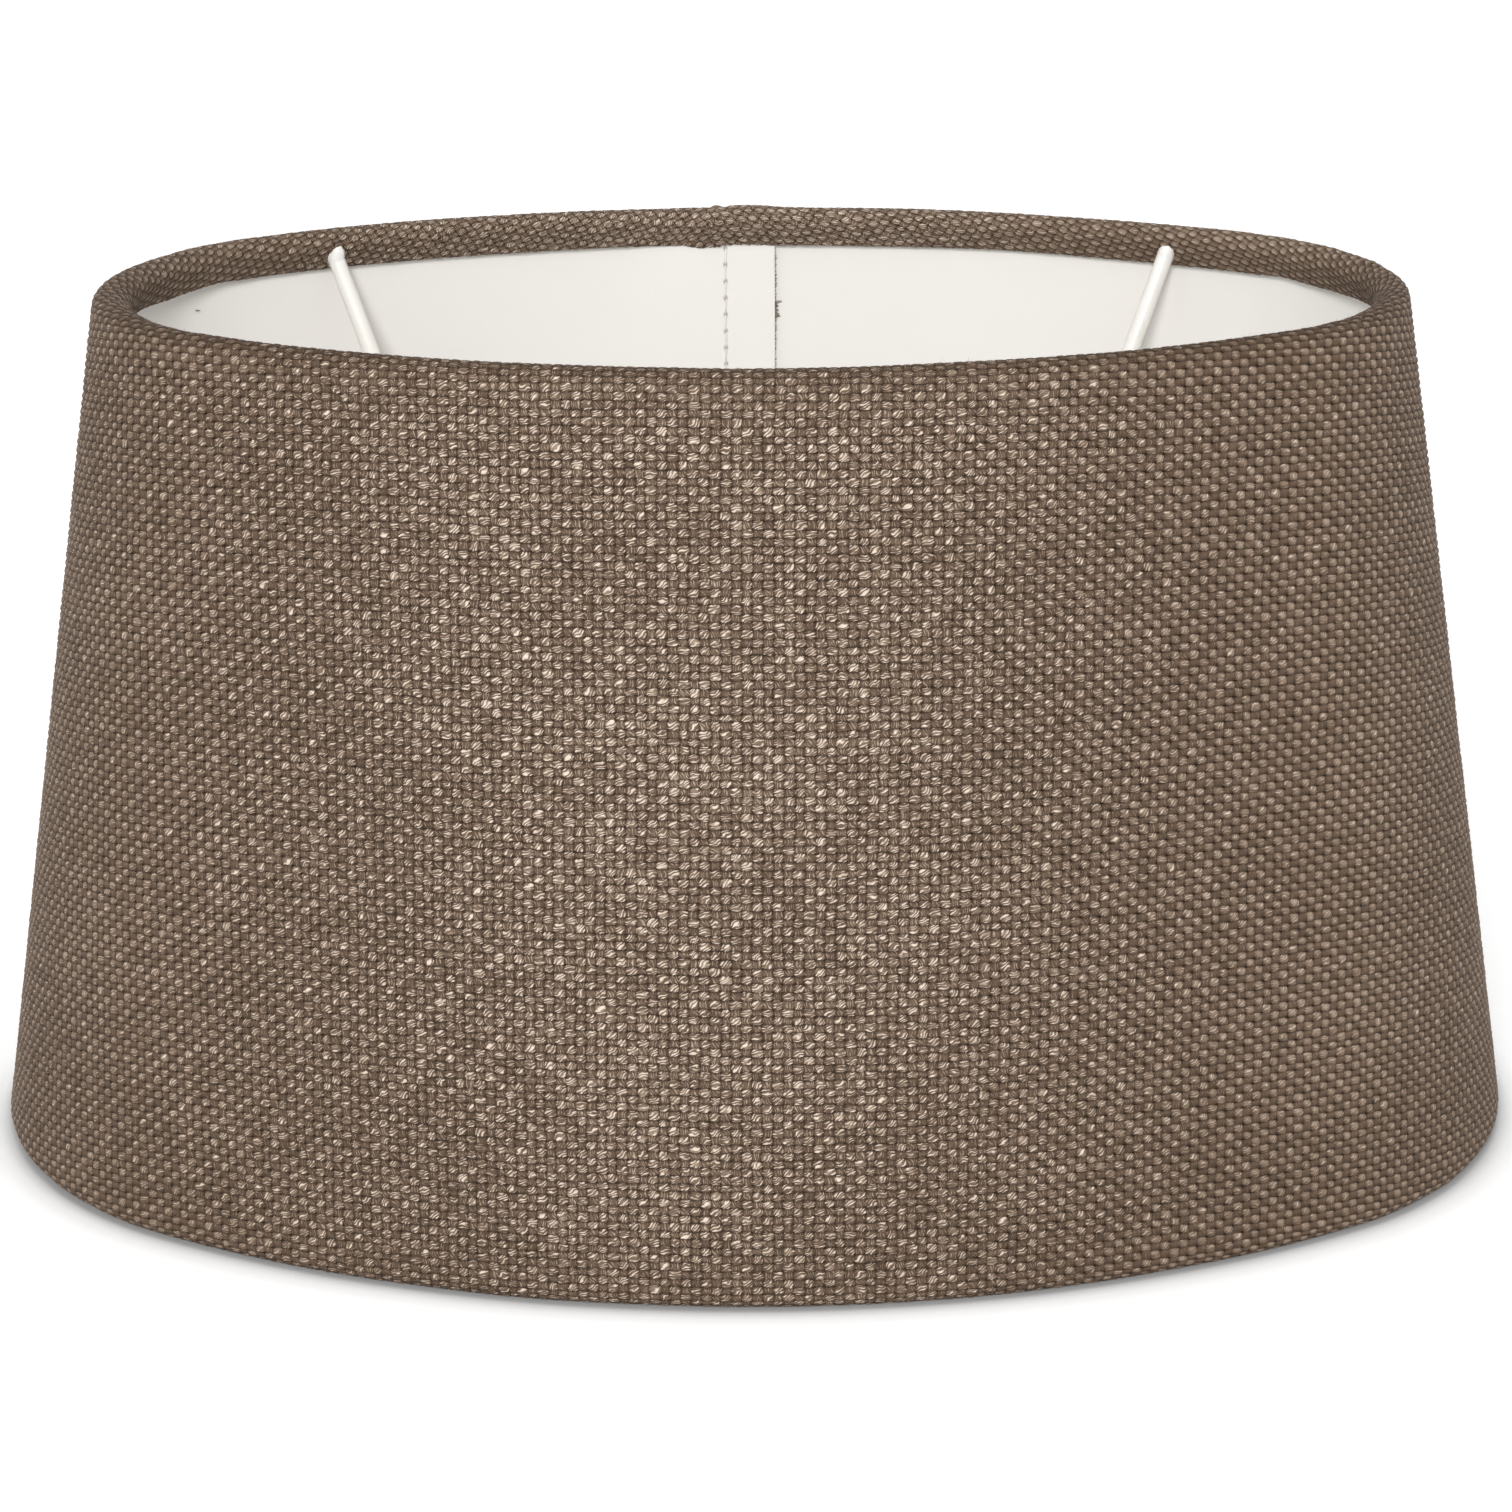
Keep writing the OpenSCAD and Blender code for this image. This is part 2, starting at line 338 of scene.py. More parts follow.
def linen_material():
    """Linen. Its weave attribute holds the crossings counted across and up the cloth, and the yarns'
    contrast, painted strongest where the key light falls. Its tone attribute holds painted light and
    shade: a lift of the whole tone, and the strength of the painted ribs that fall to the right and of
    those that rise to it."""
    material, tree, shader = new_material("linen_weave", 0.7, Specular_IOR_Level=0.15)
    weave = node(tree, "ShaderNodeAttribute", {"attribute_name": "weave"}).outputs["Vector"]
    u, v, sheen_contrast = node(tree, "ShaderNodeSeparateXYZ", i0=weave).outputs
    cu, cv = calc(tree, "FLOOR", u), calc(tree, "FLOOR", v)
    a = calc(tree, "SUBTRACT", calc(tree, "SUBTRACT", u, cu), 0.5)
    b = calc(tree, "SUBTRACT", calc(tree, "SUBTRACT", v, cv), 0.5)
    cell = node(tree, "ShaderNodeCombineXYZ", i0=cu, i1=cv).outputs[0]
    dice = node(tree, "ShaderNodeTexWhiteNoise", {"noise_dimensions": "2D"}, Vector=cell)
    luck = dice.outputs["Value"]
    _, luck_tilt, luck_fine = node(tree, "ShaderNodeSeparateXYZ", i0=dice.outputs["Color"]).outputs
    under = calc(tree, "PINGPONG", calc(tree, "ADD", cu, cv), 1.0)

    # Strands of fibre rise to the right over the proud crossings and run steeply over the others.
    wobble = calc(tree, "MULTIPLY_ADD", luck_tilt, 0.7, -0.35)
    tilt = calc(tree, "ADD", calc(tree, "MULTIPLY_ADD", under, 1.35, 0.50), wobble)
    cos_t, sin_t = calc(tree, "COSINE", tilt), calc(tree, "SINE", tilt)
    a_mm, b_mm = calc(tree, "MULTIPLY", a, WARP_PITCH), calc(tree, "MULTIPLY", b, WEFT_PITCH)
    along = calc(tree, "ADD", calc(tree, "MULTIPLY", a_mm, cos_t), calc(tree, "MULTIPLY", b_mm, sin_t))
    across = calc(tree, "SUBTRACT", calc(tree, "MULTIPLY", b_mm, cos_t),
                  calc(tree, "MULTIPLY", a_mm, sin_t))
    shift = calc(tree, "MULTIPLY", luck, 91.0)
    uneven_at = node(tree, "ShaderNodeCombineXYZ", i0=calc(tree, "ADD", across, shift),
                     i1=calc(tree, "MULTIPLY_ADD", along, 0.8, shift)).outputs[0]
    uneven = noise(tree, uneven_at, 1.1, 0.0, 0.5, "2D")
    phase = calc(tree, "MULTIPLY_ADD", across, STRANDS_PER_MM,
                 calc(tree, "MULTIPLY_ADD", uneven, 1.6, luck_fine))
    wave = calc(tree, "SINE", calc(tree, "MULTIPLY", phase, math.tau))
    wave = calc(tree, "MULTIPLY_ADD", wave, 0.5, 0.5)
    fibre_at = node(tree, "ShaderNodeCombineXYZ", i0=calc(tree, "MULTIPLY_ADD", across, 2.2, shift),
                    i1=calc(tree, "MULTIPLY_ADD", along, 0.8, shift)).outputs[0]
    fibres = ramp(tree, noise(tree, fibre_at, 1.0, 2.0, 0.6, "2D"), [(0.32, 0.10), (0.66, 1.30)])
    # Calm is where the yarns' painted sheen contrast is low, towards the ends and in the hems.
    calm = calc(tree, "SUBTRACT", 1.0, sheen_contrast)
    wave = calc(tree, "MULTIPLY_ADD", calm, -0.9, wave)
    strand = calc(tree, "MULTIPLY", ramp(tree, wave, [(0.22, 0.0), (0.80, 1.0)]), fibres)

    # A yarn dives at both ends of its crossing and rounds off at its sides, where painted shade darkens it.
    wide_a = calc(tree, "ABSOLUTE", calc(tree, "MULTIPLY", a, 2.0))
    wide_b = calc(tree, "ABSOLUTE", calc(tree, "MULTIPLY", b, 2.0))
    proud = calc(tree, "SUBTRACT", 1.0, under)
    dive = calc(tree, "ADD", calc(tree, "MULTIPLY", wide_a, proud),
                calc(tree, "MULTIPLY", wide_b, under))
    flank = calc(tree, "ADD", calc(tree, "MULTIPLY", wide_b, proud),
                 calc(tree, "MULTIPLY", wide_a, under))
    dive_shade = calc(tree, "ADD", calc(tree, "MULTIPLY", calc(tree, "POWER", dive, 3.0), 0.42),
                 calc(tree, "MULTIPLY", calc(tree, "POWER", flank, 4.0), 0.30))

    # Tone of the whole crossing: the proud ones are lighter, and a few of them are paler still.
    patches = noise(tree, weave, 0.05, 3.0, 0.6, "2D")
    mottle = noise(tree, weave, 0.45, 2.0, 0.6, "2D")
    cream = calc(tree, "MULTIPLY", calc(tree, "POWER", luck, 5.0),
                 calc(tree, "MULTIPLY_ADD", proud, 0.16, 0.05))
    cream = calc(tree, "MULTIPLY", cream, ramp(tree, calm, [(0.0, 1.0), (0.05, 0.12)]))
    low = calc(tree, "ADD", calc(tree, "MULTIPLY_ADD", proud, 0.10, 0.18), cream)
    depth = calc(tree, "MULTIPLY_ADD", proud, 0.25, 0.43)
    tone = calc(tree, "ADD", low, calc(tree, "MULTIPLY", strand, depth))
    # Some proud crossings have a soft pale spot on their crown, part paler fibre and part painted highlight.
    dome_a = calc(tree, "MULTIPLY_ADD", calc(tree, "MULTIPLY", wide_a, wide_a), -1.0, 1.0)
    dome_b = calc(tree, "MULTIPLY_ADD", calc(tree, "MULTIPLY", wide_b, wide_b), -1.0, 1.0)
    pale_spot_glint = calc(tree, "MULTIPLY", calc(tree, "MULTIPLY", dome_a, dome_b),
                calc(tree, "POWER", luck_tilt, 3.0))
    tone = calc(tree, "MULTIPLY_ADD", pale_spot_glint, calc(tree, "MULTIPLY_ADD", proud, 0.14, 0.02), tone)
    tone = calc(tree, "ADD", tone, calc(tree, "MULTIPLY_ADD", patches, 0.18, -0.08))
    tone = calc(tree, "ADD", tone, calc(tree, "MULTIPLY_ADD", mottle, 0.42, -0.215))
    tone = calc(tree, "SUBTRACT", calc(tree, "SUBTRACT", tone, dive_shade), MEAN_TONE)
    # The tone attribute carries painted light and shade: a lift of the whole tone, and the ribs' strengths.
    tones = node(tree, "ShaderNodeAttribute", {"attribute_name": "tone"}).outputs["Vector"]
    lift, falling, rising = node(tree, "ShaderNodeSeparateXYZ", i0=tones).outputs
    # On the flanks the proud crossings run together in faint diagonal ribs, falling or rising to the right:
    # painted light and shade of the lit crossings.
    fall = calc(tree, "COSINE", calc(tree, "MULTIPLY", calc(tree, "ADD", u, v), math.pi))
    rise = calc(tree, "COSINE", calc(tree, "MULTIPLY", calc(tree, "SUBTRACT", u, v), math.pi))
    rib_shade = calc(tree, "SUBTRACT", calc(tree, "MULTIPLY", rise, rising),
               calc(tree, "MULTIPLY", fall, falling))
    mean = calc(tree, "MULTIPLY_ADD", rib_shade, 0.07, calc(tree, "ADD", lift, MEAN_TONE))
    # Painted light and shade towards the ends: the crossings that dive are painted darker, and each crown
    # has a painted highlight on its upper side.
    crown_light_shade = calc(tree, "MULTIPLY_ADD", b, 0.9, calc(tree, "MULTIPLY_ADD", proud, 0.20, 0.05))
    mean = calc(tree, "MULTIPLY_ADD", calm, crown_light_shade, mean)
    tone = calc(tree, "MULTIPLY_ADD", tone, calc(tree, "MULTIPLY_ADD", calm, -0.8, 1.0), mean)
    yarn = ramp(tree, tone, [(0.0, DARK_YARN), (0.34, MID_YARN), (0.67, LIGHT_YARN), (1.0, CREAM_YARN)])
    # Painted shade: dark holes at the corners between the yarns, with broken gaps that run on from them
    gap_a = calc(tree, "MULTIPLY", calc(tree, "POWER", wide_a, 9.0),
                 calc(tree, "MULTIPLY", luck_fine, 0.8))
    gap_b = calc(tree, "MULTIPLY", calc(tree, "POWER", wide_b, 7.0),
                 calc(tree, "MULTIPLY_ADD", luck_tilt, 0.9, 0.2))
    corner = calc(tree, "POWER", calc(tree, "MULTIPLY", wide_a, wide_b), 3.0)
    gap = calc(tree, "ADD", calc(tree, "ADD", gap_a, gap_b), calc(tree, "MULTIPLY", corner, 1.2))
    gap = calc(tree, "MULTIPLY", gap, calc(tree, "MULTIPLY_ADD", mottle, -0.9, 1.0))
    gap_shade = calc(tree, "MULTIPLY", ramp(tree, gap, [(0.15, 0.0), (0.75, 1.0)]),
                  calc(tree, "MULTIPLY_ADD", calm, -0.4, 1.0))
    gap_shade = calc(tree, "MULTIPLY", gap_shade, calc(tree, "MULTIPLY_ADD", rib_shade, -0.6, 0.8))
    colour = blend_colours(tree, calc(tree, "MULTIPLY", gap_shade, 0.96), yarn, GAP_SHADE_BROWN)
    tree.links.new(colour, shader.inputs["Base Color"])
    height = calc(tree, "SUBTRACT", calc(tree, "MULTIPLY", strand, 0.5),
                  calc(tree, "MULTIPLY", gap_shade, 1.2))
    add_bump(tree, shader, height, 0.14 * MM)
    return material


def lining_material():
    """Satin off-white sheet. Its seam attribute holds the distance in millimetres sideways from the sewn
    line, and the distance up it counted in stitches."""
    material, tree, shader = new_material("lining_satin", 0.42)
    place = node(tree, "ShaderNodeTexCoord").outputs["Object"]
    seam = node(tree, "ShaderNodeAttribute", {"attribute_name": "seam"}).outputs["Vector"]
    side, up, _ = node(tree, "ShaderNodeSeparateXYZ", i0=seam).outputs
    # Needle holes show as small dark points between the stitches.
    from_hole = calc(tree, "PINGPONG", calc(tree, "MULTIPLY", up, STITCH_PITCH), STITCH_PITCH / 2)
    distance = calc(tree, "SQRT", calc(tree, "ADD", calc(tree, "POWER", side, 2.0),
                                       calc(tree, "POWER", calc(tree, "MULTIPLY", from_hole, 0.7), 2.0)))
    hole = ramp(tree, calc(tree, "MULTIPLY", distance, 0.5), [(0.14, 1.0), (0.30, 0.0)])
    cloudy = noise(tree, place, 9.0, 3.0)
    fine = noise(tree, place, 900.0, 2.0)
    colour = ramp(tree, cloudy, [(0.3, LINING_DULL), (0.7, LINING_CLEAN)])
    colour = blend_colours(tree, calc(tree, "MULTIPLY", hole, 0.65), colour, NEEDLE_HOLE)
    tree.links.new(colour, shader.inputs["Base Color"])
    tree.links.new(ramp(tree, fine, [(0.3, 0.36), (0.7, 0.50)]), shader.inputs["Roughness"])
    add_bump(tree, shader, fine, 0.02 * MM, 0.6)
    return material


def paint_material():
    """Off-white paint on the wires, with a faint orange-peel and slightly yellowed patches."""
    material, tree, shader = new_material("painted_wire_satin", 0.34,
                                          Coat_Weight=0.25, Coat_Roughness=0.2)
    place = node(tree, "ShaderNodeTexCoord").outputs["Object"]
    patches = noise(tree, place, 120.0, 3.0)
    peel = noise(tree, place, 1400.0, 2.0)
    colour = ramp(tree, patches, [(0.3, PAINT_AGED), (0.7, PAINT_FRESH)])
    tree.links.new(colour, shader.inputs["Base Color"])
    tree.links.new(ramp(tree, peel, [(0.3, 0.28), (0.7, 0.42)]), shader.inputs["Roughness"])
    add_bump(tree, shader, calc(tree, "ADD", peel, calc(tree, "MULTIPLY", patches, 2.0)), 0.03 * MM)
    return material


def fibre_material(name, dark, light, roughness=0.85):
    """Thread or loose fibre, with a fine relief and a tone that changes along it."""
    material, tree, shader = new_material(name, roughness)
    place = node(tree, "ShaderNodeTexCoord").outputs["Object"]
    tone = noise(tree, place, 700.0, 3.0)
    tree.links.new(ramp(tree, tone, [(0.35, dark), (0.65, light)]), shader.inputs["Base Color"])
    add_bump(tree, shader, noise(tree, place, 6000.0, 1.0), 0.04 * MM)
    return material


def floor_material():
    """Smooth white studio floor with a faint mottle. Its glow is painted light, stronger away from the
    shade, standing in for a sweep lit from behind.
    """
    material, tree, shader = new_material("studio_floor", 0.7, Emission_Color=(1, 1, 1, 1))
    place = node(tree, "ShaderNodeTexCoord").outputs["Object"]
    away = node(tree, "ShaderNodeVectorMath", {"operation": "LENGTH"}, i0=place).outputs["Value"]
    glow = ramp(tree, away, [(0.12, 0.28), (0.35, 0.34), (1.0, 0.42)])
    # The shade shuts the light out of the last millimetres beside its edge.
    shut = node(tree, "ShaderNodeAmbientOcclusion", {"samples": 12}, Distance=7 * MM).outputs["AO"]
    shut = ramp(tree, shut, [(0.45, 0.30), (0.75, 0.80), (1.0, 1.0)])
    tree.links.new(calc(tree, "MULTIPLY", glow, shut), shader.inputs["Emission Strength"])
    mottle = noise(tree, place, 3.0, 2.0)
    white = ramp(tree, mottle, [(0.3, 0.86), (0.7, 0.88)])
    tree.links.new(blend_colours(tree, shut, CONTACT_GREY, white), shader.inputs["Base Color"])
    return material


LINEN = linen_material()
LINING = lining_material()
PAINT = paint_material()
TAUPE_THREAD = fibre_material("taupe_thread", (0.13, 0.10, 0.075), (0.30, 0.24, 0.19))
WHITE_THREAD = fibre_material("off_white_thread", (0.76, 0.73, 0.68), (0.88, 0.86, 0.82))
LOOSE_FIBRE = fibre_material("loose_linen_fibre", (0.15, 0.115, 0.085), (0.55, 0.47, 0.38))


# ---------------------------------------------------------------- the woven cloth
def squircle(a, b):
    """Height of a yarn's crown: 1 in the middle of its crossing, 0 at the edges, less at the corners."""
    return 1 - np.sqrt((2 * a) ** 6 + (2 * b) ** 6)


def weave_relief(u, v):
    """Height of the cloth's face, from about -0.4 to 1.2, at weave coordinates u and v."""
    lots = np.random.default_rng(5)
    tall = lots.uniform(0.80, 1.15, (LOTS, LOTS))
    lean_u = lots.uniform(-0.3, 0.3, (LOTS, LOTS))
    lean_v = lots.uniform(-0.3, 0.3, (LOTS, LOTS))
    # On the line between two crossings the height is the mean of those on either side.
    total = 0
    nudge = 1e-4
    for du in (-nudge, nudge):
        for dv in (-nudge, nudge):
            cu, cv = np.floor(u + du).astype(int), np.floor(v + dv).astype(int)
            a, b = u + du - cu - 0.5, v + dv - cv - 0.5
            under = (cu + cv) % 2
            key = cu % LOTS, cv % LOTS
            crown = squircle(a, b) * tall[key]
            lean = (lean_u[key] * a + lean_v[key] * b) * (1 - (2 * a) ** 2) * (1 - (2 * b) ** 2)
            total = total + np.where(crown > 0, crown * (1 - 0.30 * under), crown) + lean
    # Slubs: yarns that run thick and thin along their length
    slub_u = wander(v + 37.0 * np.floor(u + 0.5), step=5.0, seed=11)
    slub_v = wander(u + 53.0 * np.floor(v + 0.5), step=7.0, seed=12)
    return total / 4 + 0.10 * slub_u + 0.10 * slub_v


def end_stand(d):
    """How far the hem stands off the wall: its inner half pulls in across the tight bend of each end."""
    side = np.degrees(np.abs(d))
    return np.where(d < 0, *END_STAND) * smooth(side, 22, 65) * (1 - smooth(side, 112, 156))


def fold_path(over, extra_r, reach, stand):
    """The hem beyond the wall: out, up and outward normal at cloth distance over past the wire's level.
    The cloth rolls round the wire, runs back down inside, and tucks its edge against the lining."""
    roll = ROLL_R + extra_r
    bx, by = BEAD_X, BEAD_Y + reach
    far = np.hypot(bx, by)
    turn = 2 * math.pi - np.arctan2(by, bx) - np.arccos((roll - BEAD_R) / far)
    straight = np.sqrt(far ** 2 - (roll - BEAD_R) ** 2)
    roll_l = turn * roll
    t1 = np.clip(over, 0, roll_l) / roll
    t2 = np.clip(over - roll_l, 0, straight)
    t3 = np.maximum(over - roll_l - straight, 0) / BEAD_R
    angle = np.where(over <= roll_l, t1, turn + t3)
    nx, ny = np.cos(angle), np.sin(angle)
    on_roll = np.stack([roll * nx, roll * ny])
    on_line = np.stack([roll * np.cos(turn) - np.sin(turn) * t2,
                        roll * np.sin(turn) + np.cos(turn) * t2])
    on_bead = np.stack([bx + BEAD_R * nx, -by + BEAD_R * ny])
    path = np.where(over <= roll_l, on_roll, np.where(over <= roll_l + straight, on_line, on_bead))
    pulled = (1 - np.cos(np.clip(t1, 0, math.pi))) / 2
    return path[0] - stand * pulled, path[1], nx, ny


def cloth_points(d, t, height):
    """Places the cloth's face in space, at direction d, distance t up the wall and height of relief."""
    x_back = radius_at(d, np.clip(t, 0, WALL_L)) * np.sin(np.abs(d)) * np.sign(d)
    behind = np.cos(d) < -0.9
    run = d * 100
    top = t > WALL_L / 2
    over = np.where(top, t - WALL_L, -t)
    # Uneven rolls, fuller where the lap makes the cloth double
    seam_bulge = np.where(behind, smooth(x_back, -20, -6) * (1 - smooth(x_back, 0, 9)), 0)
    extra = 0.10 * wander(run + np.where(top, 0, 900), step=9.0, seed=3) + 0.4 * seam_bulge
    seam_dip = np.where(behind, smooth(x_back, -15, -10) * (1 - smooth(x_back, -7, -3)), 0)
    reach = 0.35 + 0.3 * wander(run + np.where(top, 0, 700), step=16.0, seed=4) + seam_dip
    out, up, nx, ny = fold_path(np.maximum(over, 0), extra, reach, end_stand(d))
    near_rim = np.exp(-np.maximum(-over, 0) / 4.0)
    on_wall = over <= 0
    out = np.where(on_wall, ROLL_R + extra * near_rim, out)
    up = np.where(on_wall, over, up)
    out = out + height * nx
    up = up + height * ny
    up = np.where(top, WALL_L + up, -up)
    points = on_shade(d, out, up)
    # No yarn reaches below the surface that the shade stands on.
    points[..., 2] = np.maximum(points[..., 2], 0)
    return points


def inside_arm(points):
    """True for points within the wire of one of the four arms."""
    hit = np.zeros(len(points), bool)
    for name in ARMS:
        co = np.array([v.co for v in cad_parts[name].data.vertices]) / MM
        from_axis = np.linalg.norm(co[:, :2], axis=1)
        tip = co[from_axis > from_axis.max() - 1.5].mean(0)
        axis = co[co[:, 2] > ARM_HIGH_Z].mean(0) - co[co[:, 2] < ARM_LOW_Z].mean(0)
        axis = axis / np.linalg.norm(axis)
        rel = points - tip
        along = rel @ axis
        away = np.linalg.norm(rel - along[:, None] * axis, axis=1)
        hit |= (away < ARM_WIRE_D / 2 - 0.35) & (along < 0.2) & (along > -14)
    return hit


def woven_cloth():
    """The whole cloth as one grid that follows the yarns, cut to the flat pattern, rolled and sewn."""
    columns = np.arange(CROSSINGS_ACROSS[0] * NU, CROSSINGS_ACROSS[1] * NU + 1)
    rows = np.arange(CROSSINGS_UP[0] * NV, CROSSINGS_UP[1] * NV + 1)
    gu, gv = np.meshgrid(columns / NU, rows / NV, indexing="ij")
    # Yarns wander a little from side to side.
    shift_u = 0.11 * wander(gv + 61.0 * np.floor(gu + 0.5), step=3.1, seed=21)
    shift_u = shift_u + 0.06 * wander(gv, step=9.0, seed=23)
    shift_v = 0.11 * wander(gu + 47.0 * np.floor(gv + 0.5), step=3.7, seed=22)
    shift_v = shift_v + 0.06 * wander(gu, step=11.0, seed=24)
    # Proud crossings swell over their neighbours, which they squeeze.
    swell_u = -SWELL * np.cos(math.pi * gu) * np.sin(math.pi * gv)
    swell_v = -SWELL * np.cos(math.pi * gv) * np.sin(math.pi * gu)
    x, y = (gu + shift_u + swell_u) * WARP_PITCH, (gv + shift_v + swell_v) * WEFT_PITCH
    u = x * math.cos(GRAIN) - (y - GRAIN_MID) * math.sin(GRAIN)
    v = GRAIN_MID + x * math.sin(GRAIN) + (y - GRAIN_MID) * math.cos(GRAIN)
    d, t = unroll(u, v)
    past_top, past_bottom = np.maximum(t - WALL_L, 0), np.maximum(-t, 0)
    t = np.clip(t, 0, WALL_L) + (past_top - past_bottom) / HEM_EASE
    reach = radius_at(np.full_like(d, math.pi), np.clip(t, 0, WALL_L))
    lateral = (math.pi - np.abs(d)) * reach * np.sign(d)      # x on the back wall, 0 at its middle
    right = d > 0
    past = np.where(right, OUTER_EDGE_X + FOLD_R - lateral, 0)
    keep = (t > -HEM_CUT) & (t < WALL_L + HEM_CUT)
    keep &= np.where(right, past < FOLD_R * math.pi, lateral < LAP_EDGE_X - UNDER_LAP)
    faces_ok = keep[:-1, :-1] & keep[1:, :-1] & keep[1:, 1:] & keep[:-1, 1:]

    relief = weave_relief(gu, gv)
    in_hem = np.maximum(smooth(t, WALL_L - 8, WALL_L), 1 - smooth(t, 0, 8))
    lift = (relief - FACE) * RELIEF * (1 - (1 - HEM_RELIEF) * in_hem)
    # The sewn line draws the cloth in, and the left edge dives under the right one.
    at_seam = np.abs(np.abs(d) - math.pi) < 0.12
    groove = np.where(at_seam, 0.35 * np.exp(-((lateral - SEWN_LINE_X) / 0.9) ** 2), 0)
    dip = (1.15 - 0.90 * in_hem) * smooth(lateral, -16.5, OUTER_EDGE_X - 0.2)
    under = np.where(at_seam & ~right, dip, 0)
    fold = np.clip(past, 0, FOLD_R * math.pi) / FOLD_R
    folded = right & at_seam & (past > 0)
    lateral_new = np.where(folded, OUTER_EDGE_X + FOLD_R - (FOLD_R + lift) * np.sin(fold), lateral)
    height = np.where(folded, (FOLD_R + lift) * np.cos(fold) - FOLD_R, lift - groove - under)
    d_new = np.where(folded, math.pi - lateral_new / reach, d)
    points = cloth_points(d_new, t, height)
    # The yarns' contrast is painted strongest in the middle, where the key light from the front left falls,
    # and calmer at the ends.
    px, py = points[..., 0], points[..., 1]
    sheen_contrast = 1 - 0.42 * np.maximum(smooth(-px, 45, HALF_W), smooth(px, 10, 115)) - 0.12 * in_hem
    weave = np.stack([gu + WEAVE_START, gv + WEAVE_START, sheen_contrast], -1)
    # Painted light and shade: the tone is lighter over the back rim, and darker over the front one, low down
    # and beside the middle.
    rim = smooth(t, WALL_L - 1, WALL_L + 2)
    beside = np.abs(px)
    painted_light_shade = rim * (0.15 * smooth(py, 0, 40) - 0.08 * smooth(-py, 0, 40))
    painted_light_shade += (-0.04 * (1 - smooth(t, 0, 50))
                - 0.03 * smooth(beside, 25, 65) * (1 - smooth(beside, 85, 125)))
    # The painted ribs of light and shade show on the front's flanks and fade towards the ends.
    rib_shade_strength = (1 - smooth(py, -10, 50)) * (1 - 0.6 * smooth(beside, 90, 140))
    tone = np.stack([painted_light_shade, rib_shade_strength * smooth(px, 12, 70), rib_shade_strength * smooth(-px, 45, 110)], -1)
    return columns, points, weave, tone, faces_ok


def add_cloth():
    """Cuts the grid into its meshes along warp yarns."""
    columns, points, weave, tone, faces_ok = woven_cloth()
    rows = points.shape[1]
    per_column = faces_ok.sum(1)
    share = np.cumsum(per_column) / per_column.sum()
    cuts = [0] + [int(np.searchsorted(share, k / CLOTH_PARTS)) // NU * NU for k in range(1, CLOTH_PARTS)]
    cuts.append(len(columns) - 1)
    flat_points = points.reshape(-1, 3)
    flat_weave, flat_tone = weave.reshape(-1, 3), tone.reshape(-1, 3)
    for k, (first, last) in enumerate(zip(cuts, cuts[1:])):
        c, r = np.nonzero(faces_ok[first:last])
        corner = (c + first) * rows + r
        quads = np.stack([corner, corner + rows, corner + rows + 1, corner + 1], -1)
        middle = flat_points[quads].mean(1)
        near_arm = (middle[:, 2] > ARM_HIGH_Z) & (np.abs(np.abs(middle[:, 0]) - 84) < 9)
        hidden = np.zeros(len(quads), bool)
        hidden[near_arm] = inside_arm(middle[near_arm])
        quads = quads[~hidden]
        used, numbers = np.unique(quads, return_inverse=True)
        attributes = {"weave": flat_weave[used], "tone": flat_tone[used]}
        piece = add_mesh(f"linen_cloth_part_{k + 1}", flat_points[used], numbers.reshape(-1, 4),
                         LINEN, attributes=attributes)
        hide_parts("fabric_cover")


